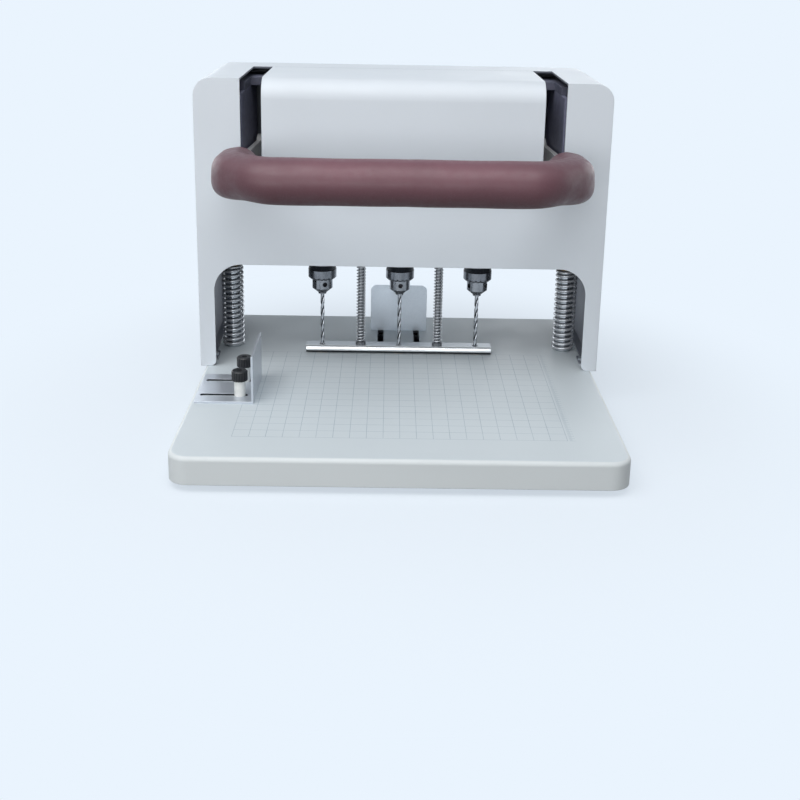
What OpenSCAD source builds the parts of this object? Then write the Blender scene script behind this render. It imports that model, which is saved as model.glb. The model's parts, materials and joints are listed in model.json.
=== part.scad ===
// Electric three-hole paper drill: a lever drives a sprung drill head down two columns onto a flat deck.
// Pieces are drawn with the housing's front face at y = 0 and the deck at z = 0, then stood on the feet.

/* [Base] */
// Distance from the front of the base to the housing's front face
house_setback = 217; // [200:1:230]
// Lip of the base behind the housing
back_lip = 14; // [8:0.5:18]
// Height of the base tray
base_h = 25; // [23:0.5:32]
// Plan radius of the tray's corners
base_r = 18; // [12:1:26]
// Rounding of the tray's top edge
base_edge_r = 4; // [3:0.5:6]
// Thickness of the pressed tray
base_t = 2; // [1.5:0.1:2.5]
// Thickness of the bottom plate
bottom_t = 1.5; // [1:0.1:2]
// Height of a rubber foot
foot_h = 7; // [5:0.5:12]
// Diameter of a rubber foot
foot_d = 22; // [18:1:30]
// Distance of a foot's centre from the sides of the tray
foot_inset = 40; // [30:1:60]

/* [Housing] */
// Overhang of the housing past each side of the base
house_overhang = 4.5; // [3:0.5:6]
// Radius of the housing's top corners
house_r = 17; // [10:1:24]
// Thickness of the housing sheet
sheet_t = 2; // [1.5:0.1:2.5]
// Thickness of the rear panel
panel_t = 1.5; // [1:0.1:2]
// Width of the flange on each leg of the window
leg_w = 15.5; // [12:0.5:19]
// Radius of a leg's lower inner corner
leg_r = 6; // [3:0.5:7]
// Radius of the window's top corners
window_r = 27; // [15:1:35]
// Depth that the window's top edge hangs below the head plate
lintel_drop = 6; // [3:0.5:10]
// Gap between covers that meet
seam = 0.4; // [0.2:0.05:0.8]
// Radius of the centre cover's top front edge
cover_r = 19; // [10:1:28]
// Depth of the centre cover's side returns
cover_return = 14; // [8:1:20]
// Overlap of the centre cover's tongues behind the housing
cover_tongue = 10; // [5:1:14]

/* [Lever] */
// Distance of each lever arm from the middle
arm_x = 150; // [140:1:160]
// Thickness of a lever arm
arm_t = 5; // [4:0.5:6]
// Height of a lever arm
arm_h = 23; // [20:1:30]
// Upward tilt of the arms at rest
arm_tilt = 3; // [0:0.5:5]
// Gap between an arm and the outer edge of its slot
arm_gap = 2.5; // [1.5:0.5:5]
// Width of an arm slot
slot_w = 20; // [14:1:22]
// Length of an arm slot along the housing's top
slot_back = 115; // [100:1:125]
// Room below an arm in its slot
slot_low = 9.5; // [6:0.5:16]
// Diameter of a pivot pin
pivot_d = 12; // [8:1:14]
// Wall of a pivot bush
bush_t = 2; // [1.5:0.5:3]
// Horizontal reach from a pivot to its lift pin
pin_reach = 55; // [52:1:62]
// Diameter of a lift pin
pin_d = 8; // [6:1:10]
// Play of a lift pin on each side of its slot
pin_play = 1.2; // [1:0.1:2]
// Metal left round the lift slot
lobe_t = 8; // [6:1:10]
// Radius of an arm's hub
hub_r = 17; // [15:1:20]

/* [Grip] */
// Diameter of the padded grip
grip_d = 42; // [36:0.2:46]
// Clearance of the swinging grip past the housing's top edge
sweep_gap = 2.5; // [2:0.5:5]
// Straight run of the grip beside each arm
grip_run = 37; // [24:1:40]
// Offset of the grip's tube outwards from its arm
tube_out = 2.5; // [0:0.5:3]
// Diameter of the tube in the grip
tube_d = 22; // [20:1:26]
// Wall of the tube
tube_t = 2; // [1.5:0.5:2.5]
// Bend radius of the tube's centre line
bend_r = 30; // [26:1:40]
// Straight run between the two bends of a corner
bend_run = 18; // [14:1:30]
// Length of the arm's tongue inside the tube
tongue_l = 12; // [8:1:12]

/* [Columns] */
// Diameter of a column
column_d = 16; // [14:0.5:18]
// Diameter of a column's threaded ends
spigot_d = 12; // [10:1:13]
// Distance of the columns behind the housing's face
column_back = 65; // [60:1:70]
// Distance from a column to the outside of the housing
column_side = 24.8; // [24:0.2:28]
// Wall of a guide bush
guide_wall = 4; // [3:0.5:5]
// Length of a guide bush below the head plate
guide_drop = 22; // [16:1:28]
// Length of a guide bush above the head plate
guide_rise = 26; // [16:1:32]
// Thickness of the beam under the deck
beam_t = 10; // [8:1:10]
// Wire diameter of a column spring
column_wire = 2.7; // [2:0.1:2.8]
// Clearance of a column spring round its column
column_spring_gap = 0.8; // [0.4:0.1:1]
// Number of curls in a column spring
column_curls = 17; // [14:1:18]

/* [Frame] */
// Thickness of the top plate
top_t = 8; // [6:1:10]
// Room above the top plate for nuts
nut_room = 7; // [5.5:0.5:8]
// Thickness of a side plate
plate_t = 4; // [3:0.5:5]
// Gap between an arm slot's edge and its side plate
plate_gap = 1; // [0.5:0.5:2]
// Gap between a side plate and a guide bush
bush_gap = 2.7; // [1.5:0.1:4]

/* [Head] */
// Travel of the drill head
head_travel = 50; // [44:1:54]
// Travel of the press bar against the head
press_travel = 50; // [44:1:52]
// Thickness of the head plate
head_t = 12; // [10:1:15]
// Height of the lift pins above the head plate
pin_up = 51; // [46:1:56]
// Thickness of a lift bracket
bracket_t = 8; // [6:1:9]
// Thickness of the upper bearing plate
upper_t = 6; // [5:0.5:8]
// Diameter of a motor can
motor_d = 76; // [64:1:80]
// Height of the motor can
motor_h = 54; // [40:1:58]
// Height of the motor cap
motor_cap_h = 7; // [5:0.5:9]
// Distance of the motor behind the spindles
motor_reach = 58; // [57:1:66]
// Room behind the motor
back_room = 10.5; // [8:0.5:16]

/* [Drills] */
// Spacing of the drills
drill_pitch = 80; // [74:1:83]
// Distance of the drills in front of the columns
drill_ahead = 15; // [12:1:16]
// Diameter of a drill bit
bit_d = 4; // [2:0.5:5]
// Length of a drill bit below its chuck
bit_out = 63; // [60:0.2:70]
// Lead of a drill's flutes
bit_lead = 25; // [16:1:32]
// Clearance of the drill tips above the cutting discs at the bottom of the stroke
tip_gap = 0.4; // [0.2:0.1:1]
// Height of a chuck's nose cone
nose_h = 6.4; // [5:0.1:10]
// Diameter of a chuck's body
chuck_d = 21; // [18:0.5:22]
// Height of the chuck body that shows below its sleeve
chuck_body_h = 10.2; // [7:0.1:14]
// Diameter of a chuck's sleeve
sleeve_d = 29; // [27:0.2:30]
// Height of a chuck's sleeve
sleeve_h = 18; // [16:0.5:26]
// Number of key teeth round a chuck's sleeve
key_teeth = 18; // [12:1:24]
// Gap between a chuck and the head plate
chuck_gap = 14; // [12:0.5:20]
// Diameter of a spindle
spindle_d = 12; // [10:0.5:13]
// Outer diameter of a spindle bearing
bearing_d = 26; // [24:1:28]
// Height of a spindle bearing
bearing_h = 6; // [4:0.5:6]
// Radius of a spindle pulley at the belt
pulley_r = 16; // [13:0.5:18]
// Radius of the motor pulley at the belt
motor_pulley_r = 12; // [9:0.5:14]
// Height of one belt's tier
tier_h = 8; // [7:0.5:9]
// Thickness of a belt
belt_t = 2; // [1.5:0.1:2.5]
// Width of a belt
belt_w = 5; // [4:0.5:5.5]

/* [Press] */
// Depth of the press bar
bar_d = 16; // [14:0.5:17]
// Height of the press bar
bar_h = 7.5; // [6:0.5:8]
// Length of the press bar past the outer drills
bar_end = 16.6; // [12:0.2:20]
// Gap below the press bar at rest
bar_gap = 0.5; // [0.3:0.1:1]
// Diameter of a press rod
rod_d = 6; // [4:0.5:6.5]
// Diameter of a rod's collar
collar_d = 10.5; // [8.5:0.5:11]
// Height of a rod's collar
collar_h = 3; // [2:0.5:3.5]
// Length of the rod bosses below the head plate
boss_drop = 16; // [10:1:20]
// Wire diameter of a press spring
press_wire = 1.2; // [0.8:0.1:1.2]
// Clearance of a press spring round its rod
press_spring_gap = 0.6; // [0.4:0.1:0.8]
// Number of curls in a press spring
press_curls = 26; // [20:1:28]

/* [Guides] */
// Thickness of the guide brackets
guide_t = 2; // [1.5:0.5:2.5]
// Length of the side guide
side_l = 71; // [64:1:80]
// Height of the side guide
side_h = 46; // [36:1:56]
// Reach of the side guide's foot
side_foot = 55; // [52:1:57]
// Distance of the side guide from the side of the base
side_in = 60; // [58:1:66]
// Distance of the side guide's middle in front of the housing
side_ahead = 64; // [56:1:80]
// Spacing of the side guide's knobs
side_knobs = 37.5; // [30:0.5:44]
// Distance of the side knobs behind the side guide's face
knob_in = 14.5; // [12:0.5:16]
// Slot length of the side guide
side_slot = 45; // [40:1:46]
// Width of a guide slot
slot_d = 6.4; // [6:0.2:7]
// Width of the rear stop
stop_w = 61.5; // [56:0.5:70]
// Height of the rear stop
stop_h = 52; // [40:1:56]
// Distance of the rear stop behind the housing's face at rest
stop_back = 120; // [118:1:124]
// Depth of the rear stop's foot
stop_foot = 30; // [26:1:32]
// Travel of the rear stop
stop_travel = 55; // [40:1:55]
// Spacing of the rear stop's knobs
stop_knobs = 39; // [34:1:42]
// Diameter of a thumb knob
knob_d = 15; // [13:0.5:17]
// Height of a thumb knob
knob_h = 9.5; // [8:0.5:14]
// Diameter of a knob's stud
stud_d = 5; // [4:0.5:5.5]
// Diameter of a white spacer
spacer_d = 10.5; // [9:0.5:12]
// Height of a white spacer
spacer_h = 15; // [12:0.5:24]
// Number of grip flutes on a knob
knob_flutes = 18; // [12:1:24]

/* [Hidden] */
$fn = 48;
eps = 0.5;
fit_gap = 0.05;
play = 0.3;

// Screws, nuts and small trim
screw_d = 4;
screw_head_d = 7.5;
screw_head_h = 2.4;
screw_l = 9;
cross_w = 1.2;
nut_h = 5;
nut_ratio = 1.8;
post_d = 12;
tab = 12;
edge = 2;
curl_gap = 0.7;
curl_steps = 8;
curl_near = 3;

// Across the machine, from the arms outwards
slot_out = arm_x + arm_t / 2 + arm_gap;
slot_in = slot_out - slot_w;
plate_x = slot_out + plate_gap + plate_t / 2;
guide_d = column_d + 2 * guide_wall;
column_x = plate_x + plate_t / 2 + bush_gap + guide_d / 2;
house_w = 2 * (column_x + column_side);
base_w = house_w - 2 * house_overhang;
wall_x = house_w / 2 - sheet_t;
wing_x = column_x + guide_d / 2 + edge;

// Front to back, from the housing's face
drill_y = column_back - drill_ahead;
pivot_y = column_back + pin_reach;
motor_y = drill_y + motor_reach;
house_d = motor_y + motor_d / 2 + back_room + panel_t;
base_d = house_setback + house_d + back_lip;
base_y = base_d / 2 - house_setback;
plate_front = 22;
frame_back = motor_y + motor_d / 2 + edge;

// Up from the deck
nose_z = tip_gap + bit_out;
chuck_z = nose_z + nose_h;
sleeve_z = chuck_z + chuck_body_h;
chuck_top = sleeve_z + sleeve_h;
head_z = chuck_top + chuck_gap;
head_top = head_z + head_t;
window_h = head_z - lintel_drop;
rod_over = 10;
upper_z = head_top + rod_over + press_travel + edge / 2;
tier_z = upper_z + upper_t + edge;
spindle_top = tier_z + 3 * tier_h + edge;
top_z = spindle_top + head_travel + edge;
house_h = top_z + top_t + nut_room + sheet_t;
pin_z = head_top + pin_up;
pivot_z = pin_z + head_travel / 2;
slot_z = pivot_z + pivot_y * tan(arm_tilt) - arm_h / 2 - slot_low;
bar_top = bar_gap + bar_h;
side_notch = head_top + head_travel + edge * 2;

// Lever geometry in the arm's own tilted frame
pin_far = norm([pin_reach, head_travel / 2]);
pin_angle = atan(head_travel / 2 / pin_reach) + arm_tilt;
pin_slot = pin_d + 2 * pin_play;
arm_end = norm([pivot_y, house_h - pivot_z]) + sweep_gap;
bend_step = bend_run * sin(45);
grip_reach = arm_end + grip_run + bend_r + bend_step;
tongue_h = 2 * sqrt(pow(tube_d / 2 - tube_t - play, 2) - pow(arm_t / 2 + tube_out, 2));

// Colours
paint = [0.86, 0.88, 0.9];
deck_paint = [0.78, 0.82, 0.83];
steel = [0.72, 0.73, 0.75];
chrome = [0.85, 0.86, 0.88];
black = [0.08, 0.08, 0.09];
bronze = [0.66, 0.5, 0.28];
alloy = [0.62, 0.64, 0.66];
maroon = [0.42, 0.27, 0.26];
white = [0.95, 0.95, 0.93];
rubber = [0.12, 0.12, 0.12];

// Shared shapes

// Stands the machine on its feet, with the base centred
module place() translate([0, -base_y, foot_h + base_h]) children();

// A piece and its mirror image across the machine
module both_sides() for (s = [0, 1]) mirror([s, 0, 0]) children();

// Rectangle with four round corners
module round_rect(w, d, r) {
    square([w - 2 * r, d], center = true);
    square([w, d - 2 * r], center = true);
    for (x = [-1, 1], y = [-1, 1]) translate([x * (w / 2 - r), y * (d / 2 - r)]) circle(r);
}

// Upright outline on z = 0 with two round top corners
module arch(w, h, r) {
    translate([-w / 2, 0]) square([w, h - r]);
    translate([r - w / 2, 0]) square([w - 2 * r, h]);
    for (s = [-1, 1]) translate([s * (w / 2 - r), h - r]) circle(r);
}

// Slot outline between two points on one line
module slot_outline(length, width) {
    square([length - width, width], center = true);
    for (s = [-1, 1]) translate([s * (length - width) / 2, 0]) circle(d = width);
}

// Plate whose outline is drawn in Y and Z
module plate_yz(t) translate([-t / 2, 0, 0]) rotate([90, 0, 90]) linear_extrude(t) children();

// Plate whose outline is drawn in X and Z, from y = 0 back
module plate_xz(t) translate([0, t, 0]) rotate([90, 0, 0]) linear_extrude(t) children();

module rod_x(d, length) rotate([0, 90, 0]) cylinder(d = d, h = length, center = true);

module rod_y(d, length) rotate([-90, 0, 0]) cylinder(d = d, h = length);

module tube(outer, inner, h) difference() {
    cylinder(d = outer, h = h);
    translate([0, 0, -eps]) cylinder(d = inner, h = h + 2 * eps);
}

// Slab with round plan corners and a round top edge
module soft_slab(w, d, h, r, e) {
    module rim() difference() {
        square([r, h]);
        difference() {
            translate([r - e, h - e]) square(e + eps);
            translate([r - e, h - e]) circle(e);
        }
    }
    translate([0, 0, h / 2]) cube([w - 2 * r, d - 2 * r, h], center = true);
    for (k = [0:3]) {
        turned = k % 2 == 1;
        run = turned ? w - 2 * r : d - 2 * r;
        out = (turned ? d : w) / 2 - r;
        rotate([0, 0, 90 * k]) {
            translate([out, run / 2, 0]) rotate([90, 0, 0]) linear_extrude(run) rim();
            translate([out, run / 2, 0]) rotate_extrude(angle = 90) rim();
        }
    }
}

// Hexagon nut with its bore
module nut(d, h) difference() {
    cylinder(d = d * nut_ratio, h = h, $fn = 6);
    translate([0, 0, -eps]) cylinder(d = d + 2 * fit_gap, h = h + 2 * eps);
}

// Pan-head screw that points down, its head on z = 0
module screw(d, length) {
    difference() {
        cylinder(d = screw_head_d, h = screw_head_h);
        for (a = [0, 90]) rotate(a) translate([0, 0, screw_head_h])
            cube([screw_head_d - edge, cross_w, screw_head_h], center = true);
    }
    translate([0, 0, -length]) cylinder(d = d, h = length + eps);
}

// Wound springs

// Centre of a spring's wire after t turns, closed up over its first and last curl
function spring_point(t, mean, wire, length, curls) =
    let (close = wire + curl_gap, open = (length - wire - 2 * close) / (curls - 2))
    let (rise = t < 1 ? t * close : t > curls - 1 ? close + (curls - 2) * open + (t - curls + 1) * close
        : close + (t - 1) * open)
    [mean / 2 * cos(360 * t), mean / 2 * sin(360 * t), wire / 2 + rise];

function spring_path(mean, wire, length, curls) =
    [for (i = [0:curl_steps * curls]) spring_point(i / curl_steps, mean, wire, length, curls)];

// Least gap between one curl and the next, on the path's own points
function spring_gap(path, wire) = min([for (i = [0:len(path) - curl_steps])
    let (first = i + curl_steps - curl_near, last = min(i + curl_steps + curl_near, len(path) - 1))
    for (j = [first:last]) norm(path[i] - path[j])]) - wire;

function unit(v) = v / norm(v);

// Six points round the wire at each point of its path
function wire_rings(path, wire) = [for (i = [0:len(path) - 1])
    let (here = path[i])
    let (along = unit(path[min(i + 1, len(path) - 1)] - path[max(i - 1, 0)]))
    let (out = unit([here[0], here[1], 0]))
    let (up = unit(cross(along, out)))
    for (k = [0:5]) here + wire / 2 * (cos(60 * k) * out + sin(60 * k) * up)];

// Triangles that join rings of n points into a closed tube
function tube_faces(rings, n) = concat(
    [for (i = [0:rings - 2], k = [0:n - 1]) [i * n + k, (i + 1) * n + k, i * n + (k + 1) % n]],
    [for (i = [0:rings - 2], k = [0:n - 1])
        [(i + 1) * n + k, (i + 1) * n + (k + 1) % n, i * n + (k + 1) % n]],
    [for (k = [1:n - 2]) [0, k, k + 1]],
    [for (k = [1:n - 2]) [(rings - 1) * n, (rings - 1) * n + k + 1, (rings - 1) * n + k]]);

// Spring with straight tails one wire long, standing on z = 0
module spring(mean, wire, length, curls, name) {
    wound = spring_path(mean, wire, length, curls);
    last = len(wound) - 1;
    tail = [wound[0] + wire * [0, -1, 0]];
    lead = [wound[last] + wire * [0, 1, 0]];
    echo(str(name, " least gap to itself, mm: ", spring_gap(wound, wire)));
    path = concat(tail, wound, lead);
    polyhedron(wire_rings(path, wire), tube_faces(len(path), 6), convexity = 10);
}

// Base

side_x = side_in - base_w / 2;

module foot_places() for (x = [-1, 1], y = [-1, 1])
    translate([x * (base_w / 2 - foot_inset), base_y + y * (base_d / 2 - foot_inset), -base_h]) children();

module side_knob_places() for (s = [-1, 1]) side_knob_place(s) children();

module side_knob_place(s)
    translate([side_x - knob_in, s * side_knobs / 2 - side_ahead, 0]) children();

module stop_knob_place(s) translate([s * stop_knobs / 2, stop_bolt_y, 0]) children();

module drill_places() for (s = [-1:1]) translate([s * drill_pitch, drill_y, 0]) children();

module rod_places() for (s = [-1, 1]) translate([s * drill_pitch / 2, drill_y, 0]) children();

module column_places() for (s = [-1, 1]) translate([s * column_x, column_back, 0]) children();

// Bolts through the housing's foot tabs
tab_front = 28;
tab_back = 40;
tab_y = [tab_front, house_d - tab_back];
tab_bolt_x = wall_x - tab + screw_head_d / 2;
module tab_places() for (s = [-1, 1], y = tab_y) translate([s * tab_bolt_x, y, sheet_t]) children();

disc_d = 14;
disc_sink = 3;
boss_h = 2 * stud_d;
stop_bolt_y = stop_back + guide_t + stop_foot / 2;

module base_shell() color(paint) place() difference() {
    union() {
        difference() {
            translate([0, base_y, -base_h]) soft_slab(base_w, base_d, base_h, base_r, base_edge_r);
            translate([0, base_y, -base_h - eps])
                soft_slab(base_w - 2 * base_t, base_d - 2 * base_t, base_h - base_t + eps, base_r - base_t,
                    base_edge_r - base_t);
        }
        foot_places() translate([0, 0, bottom_t]) cylinder(d = post_d, h = base_h - bottom_t - base_t / 2);
        side_knob_places() translate([0, 0, -boss_h - base_t]) cylinder(d = boss_h, h = boss_h + base_t / 2);
    }
    foot_places() cylinder(d = screw_d + 2 * fit_gap, h = base_h - base_t * 2);
    side_knob_places() translate([0, 0, -base_h + bottom_t]) cylinder(d = stud_d + 2 * fit_gap, h = base_h);
    column_places() translate([0, 0, -base_t - eps]) cylinder(d = column_d + 2 * play, h = base_t + 2 * eps);
    drill_places() translate([0, 0, -base_t - eps]) cylinder(d = disc_d + 2 * fit_gap, h = base_t + 2 * eps);
    tab_places() translate([0, 0, -screw_l - eps]) cylinder(d = screw_d + 2 * fit_gap, h = screw_l);
    for (s = [-1, 1]) translate([s * stop_knobs / 2, stop_bolt_y - stop_travel / 2, -base_t - eps])
        linear_extrude(base_t + 2 * eps) rotate(90) slot_outline(stop_travel + slot_d + 2 * edge, slot_d);
}

module base_bottom() color(steel) place() difference() {
    translate([0, base_y, -base_h]) linear_extrude(bottom_t)
        round_rect(base_w - 2 * (base_t + seam), base_d - 2 * (base_t + seam), base_r - base_t - seam);
    foot_places() translate([0, 0, -eps]) cylinder(d = screw_d + 2 * play, h = bottom_t + 2 * eps);
}

foot_head = 3;
module rubber_feet() color(rubber) place() foot_places() rotate_extrude() polygon([
    [screw_d / 2 + play, 0], [foot_d / 2, 0], [foot_d / 2 - edge, -foot_h],
    [screw_head_d / 2 + edge / 2, -foot_h], [screw_head_d / 2 + edge / 2, -foot_head],
    [screw_d / 2 + play, -foot_head]]);

module case_screws() color(steel) place() {
    foot_places() translate([0, 0, -foot_head]) rotate([180, 0, 0]) screw(screw_d, screw_l);
    tab_places() screw(screw_d, screw_l);
    panel_tabs() rotate([-90, 0, 0]) screw(screw_d, screw_l);
}

module column_beam() color(steel) place() difference() {
    translate([-column_x - guide_d / 2, drill_y - disc_d, -base_t - beam_t])
        cube([2 * column_x + guide_d, drill_ahead + disc_d + column_d / 2 + edge, beam_t]);
    column_places() translate([0, 0, -base_t - beam_t - eps])
        cylinder(d = spigot_d + 2 * fit_gap, h = beam_t + 2 * eps);
    drill_places() translate([0, 0, -base_t - disc_sink])
        cylinder(d = disc_d + 2 * fit_gap, h = disc_sink + eps);
}

module cutting_discs() color(white) place() drill_places() translate([0, 0, -base_t - disc_sink])
    cylinder(d = disc_d, h = base_t + disc_sink);

// Columns and their springs

module guide_columns() color(chrome) place() column_places() {
    translate([0, 0, -base_t]) cylinder(d = column_d, h = base_t + top_z);
    translate([0, 0, -base_t - beam_t - nut_h]) cylinder(d = spigot_d, h = beam_t + nut_h + eps);
    translate([0, 0, top_z - eps]) cylinder(d = spigot_d, h = top_t + nut_h + eps);
}

column_spring_l = head_z - guide_drop - 2 * play;
column_spring_d = column_d + 2 * column_spring_gap + column_wire;
module column_spring(s) color(chrome) place() translate([s * column_x, column_back, play])
    spring(column_spring_d, column_wire, column_spring_l, column_curls, "column spring");

module column_spring_left() column_spring(-1);

module column_spring_right() column_spring(1);

// Housing

panel_tab_low = 24;
panel_tab_high = 60;
panel_tab_z = [window_h + panel_tab_low, house_h - panel_tab_high];
module panel_tabs() for (s = [-1, 1], z = panel_tab_z)
    translate([s * (wall_x - tab / 2), house_d, z]) children();

// Opening of the window through a front or rear sheet
module window() {
    translate([0, -base_h]) arch(house_w - 2 * leg_w, window_h + base_h, window_r);
    for (s = [-1, 1]) translate([s * (house_w / 2 - leg_w + leg_r), 0]) difference() {
        translate([s > 0 ? -leg_r - eps : 0, -eps]) square(leg_r + eps);
        translate([0, leg_r]) circle(leg_r);
    }
}

// Lip along the foot of each side wall
foot_lip = 8;

module main_housing() color(paint) place() {
    difference() {
        plate_xz(house_d) arch(house_w, house_h, house_r);
        translate([0, sheet_t, -eps]) plate_xz(house_d)
            arch(2 * wall_x, house_h - sheet_t + eps, house_r - sheet_t);
        translate([0, -eps, 0]) plate_xz(sheet_t + 2 * eps) window();
        translate([-slot_out, -eps, slot_z]) cube([2 * slot_out, slot_back + eps, house_h]);
    }
    for (s = [-1, 1]) difference() {
        union() {
            translate([s > 0 ? wall_x - foot_lip : -wall_x - eps, sheet_t - eps, 0])
                cube([foot_lip + eps, house_d - sheet_t - panel_t + eps - seam, sheet_t]);
            for (y = tab_y) translate([s > 0 ? wall_x - tab : -wall_x - eps, y - tab, 0])
                cube([tab + eps, 2 * tab, sheet_t]);
        }
        for (y = tab_y) translate([s * tab_bolt_x, y, -eps])
            cylinder(d = screw_d + 2 * play, h = sheet_t + 2 * eps);
    }
    for (s = [-1, 1], z = panel_tab_z) difference() {
        translate([s > 0 ? wall_x - tab : -wall_x - eps, house_d - panel_t - sheet_t, z - tab / 2])
            cube([tab + eps, sheet_t, tab]);
        translate([s * (wall_x - tab / 2), house_d - panel_t - sheet_t - eps, z])
            rod_y(screw_d + 2 * fit_gap, sheet_t + 2 * eps);
    }
}

// Side outline of the centre cover, filled, drawn in Y and Z
module cover_side() difference() {
    translate([0, slot_z + seam]) square([slot_back - seam, house_h - slot_z - seam]);
    difference() {
        translate([-eps, house_h - cover_r]) square([cover_r + eps, cover_r + eps]);
        translate([cover_r, house_h - cover_r]) circle(cover_r);
    }
}

module center_cover() color(paint) place() {
    plate_yz(2 * slot_in) difference() {
        cover_side();
        translate([sheet_t, slot_z - eps]) square([slot_back, house_h - slot_z - cover_r + eps]);
        translate([cover_r, slot_z]) square([slot_back, house_h - slot_z - sheet_t]);
        translate([cover_r, house_h - cover_r]) circle(cover_r - sheet_t);
    }
    for (s = [-1, 1]) translate([s * (slot_in - sheet_t / 2), 0, 0]) plate_yz(sheet_t) intersection() {
        cover_side();
        square([cover_return, house_h - cover_r]);
    }
    // Tongues that tuck behind the front sheet and under the top sheet
    translate([seam - slot_in + sheet_t, sheet_t + play, slot_z - cover_tongue])
        cube([2 * (slot_in - sheet_t - seam), sheet_t, 2 * cover_tongue]);
    translate([sheet_t - slot_in, sheet_t - eps / 2, slot_z + cover_tongue / 2])
        cube([2 * (slot_in - sheet_t), eps + play, cover_tongue / 2]);
    translate([seam - slot_in + sheet_t, slot_back - cover_tongue, house_h - 2 * sheet_t - play])
        cube([2 * (slot_in - sheet_t - seam), 2 * cover_tongue, sheet_t]);
    translate([sheet_t - slot_in, slot_back - cover_tongue, house_h - sheet_t - play - eps / 2])
        cube([2 * (slot_in - sheet_t), cover_tongue / 2, play + eps]);
}

// Cooling slots across the rear panel
vent_l = 70;
vent_w = 4;
vent_pitch = 10;
vent_rows = 6;
vent_x = 52;
vent_top = 50;
inlet_x = (plate_x + plate_t / 2 + wall_x) / 2;
inlet_up = 50;
inlet_z = window_h + inlet_up;
inlet_w = 27;
inlet_h = 20;
switch_up = 46;
switch_z = inlet_z + switch_up;
switch_w = 15;
switch_h = 22;

module rear_panel() color(paint) place() difference() {
    translate([0, house_d - panel_t, seam]) plate_xz(panel_t)
        arch(2 * (wall_x - seam), house_h - sheet_t - 2 * seam, house_r - sheet_t - seam);
    translate([0, house_d - panel_t - eps, 0]) plate_xz(panel_t + 2 * eps) window();
    translate([0, house_d - panel_t - eps, 0]) plate_xz(panel_t + 2 * eps) {
        for (s = [-1, 1], k = [0:vent_rows - 1])
            translate([s * vent_x, house_h - vent_top - k * vent_pitch]) slot_outline(vent_l, vent_w);
        translate([inlet_x, inlet_z]) square([inlet_w + 2 * fit_gap, inlet_h + 2 * fit_gap], center = true);
        translate([inlet_x, switch_z])
            square([switch_w + 2 * fit_gap, switch_h + 2 * fit_gap], center = true);
    }
    panel_tabs() translate([0, eps, 0]) rotate([180, 0, 0]) rod_y(screw_d + 2 * play, panel_t + 2 * eps);
}

// Fixed frame

// Plate with two wings that reach forward to the columns, and the lever's way up between them
wing_reach = 30;
module top_plate() color(black) place() difference() {
    translate([-wing_x, drill_y - edge, top_z]) cube([2 * wing_x, frame_back - drill_y + edge, top_t]);
    column_places() translate([0, 0, top_z - eps]) cylinder(d = spigot_d + 2 * fit_gap, h = top_t + 2 * eps);
    translate([plate_t / 2 - plate_x, 0, top_z - eps])
        cube([2 * plate_x - plate_t, column_back + wing_reach, top_t + 2 * eps]);
    frame_bolt_places() translate([0, 0, -eps]) cylinder(d = screw_d + 2 * fit_gap, h = top_t + 2 * eps);
}

flange_w = 16;
flange_front = 20;
flange_bolts = 30;
flange_y = [pivot_y - flange_front + screw_head_d, pivot_y - flange_front + screw_head_d + flange_bolts];
module frame_bolt_places() for (s = [-1, 1], y = flange_y)
    translate([s * (plate_x + flange_w / 2), y, top_z]) children();

module side_plates() color(black) place() for (s = [-1, 1]) translate([s * plate_x, 0, 0]) difference() {
    union() {
        plate_yz(plate_t) translate([plate_front, head_z]) square([frame_back - plate_front, top_z - head_z]);
        translate([s > 0 ? 0 : -flange_w, pivot_y - flange_front, top_z - plate_t])
            cube([flange_w, frame_back - pivot_y + flange_front, plate_t]);
    }
    plate_yz(plate_t + 2 * eps) translate([column_back - guide_d, head_z - eps])
        square([2 * guide_d, side_notch - head_z + eps]);
    translate([0, pivot_y, pivot_z]) rod_x(pivot_d + 2 * fit_gap, plate_t + 2 * eps);
    translate([-s * plate_x, 0, -plate_t - eps]) frame_bolt_places()
        cylinder(d = screw_d + 2 * play, h = plate_t + 2 * eps);
}

module frame_bolts() color(steel) place() {
    column_places() {
        translate([0, 0, -base_t - beam_t - nut_h]) nut(spigot_d, nut_h);
        translate([0, 0, top_z + top_t]) nut(spigot_d, nut_h);
    }
    frame_bolt_places() translate([0, 0, -plate_t]) rotate([180, 0, 0]) screw(screw_d, plate_t + top_t);
}

pin_head_t = 4;
module pivot_pins() color(steel) place() both_sides() translate([0, pivot_y, pivot_z]) {
    inner = arm_x - arm_t / 2 - play;
    outer = plate_x + plate_t / 2;
    translate([(outer + inner) / 2, 0, 0]) rod_x(pivot_d, outer - inner);
    translate([outer + pin_head_t / 2, 0, 0]) rod_x(pivot_d + pin_head_t, pin_head_t);
    translate([inner - pin_head_t / 4, 0, 0]) rod_x(pivot_d + 2 * bush_t + edge, pin_head_t / 2);
}

// Rear electrics

inlet_flange = 3;
inlet_depth = 16;
inlet_recess = 14;
inlet_pins = [[-7, -2], [0, 2], [7, -2]];
module power_inlet() color(black) place() translate([inlet_x, house_d, inlet_z]) difference() {
    union() {
        translate([0, -inlet_depth, 0]) plate_xz(inlet_depth + eps) square([inlet_w, inlet_h], center = true);
        plate_xz(edge) round_rect(inlet_w + 2 * inlet_flange, inlet_h + 2 * inlet_flange, inlet_flange);
    }
    difference() {
        translate([0, edge - inlet_recess, 0]) plate_xz(inlet_recess + eps)
            round_rect(inlet_w - inlet_flange, inlet_h - inlet_flange, inlet_flange);
        for (p = inlet_pins) translate([p[0], edge - inlet_recess - eps, p[1]])
            plate_xz(inlet_recess - edge) square([edge, edge * 2], center = true);
    }
}

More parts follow.
